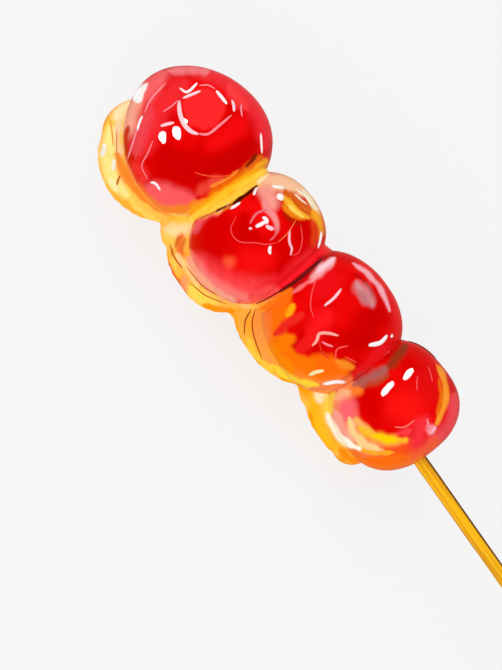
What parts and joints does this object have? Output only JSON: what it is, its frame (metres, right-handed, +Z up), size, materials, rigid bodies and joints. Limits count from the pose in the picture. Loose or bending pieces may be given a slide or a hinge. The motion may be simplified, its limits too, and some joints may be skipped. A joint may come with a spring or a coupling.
{
  "type": "tanghulu",
  "caption": "Candied hawthorn fruits pressed together on a bamboo skewer, lying in their hardened amber sugar run-off.",
  "frame": {"origin": "on the sugar's flat underside, straight below the skewer's axis, halfway along the row of fruit", "axes": "+X along the skewer towards its free end, +Z up from the surface the sweet lies on, -Y towards the side that the picture shows lowest, where the run-off sugar shows"},
  "size_m": [0.211, 0.032, 0.033],
  "materials": {
    "hawthorn_skin": "deep red fruit skin under clear hard sugar",
    "amber_sugar": "clear amber boiled sugar, glossy, uneven in thickness",
    "bamboo": "golden yellow split bamboo with fine lengthwise grain"
  },
  "bodies": {
    "root": {"berry_1": "hawthorn_skin", "berry_2": "hawthorn_skin", "berry_3": "hawthorn_skin", "berry_4": "hawthorn_skin", "skewer": "bamboo", "sugar": "amber_sugar"}
  },
  "joints": []
}
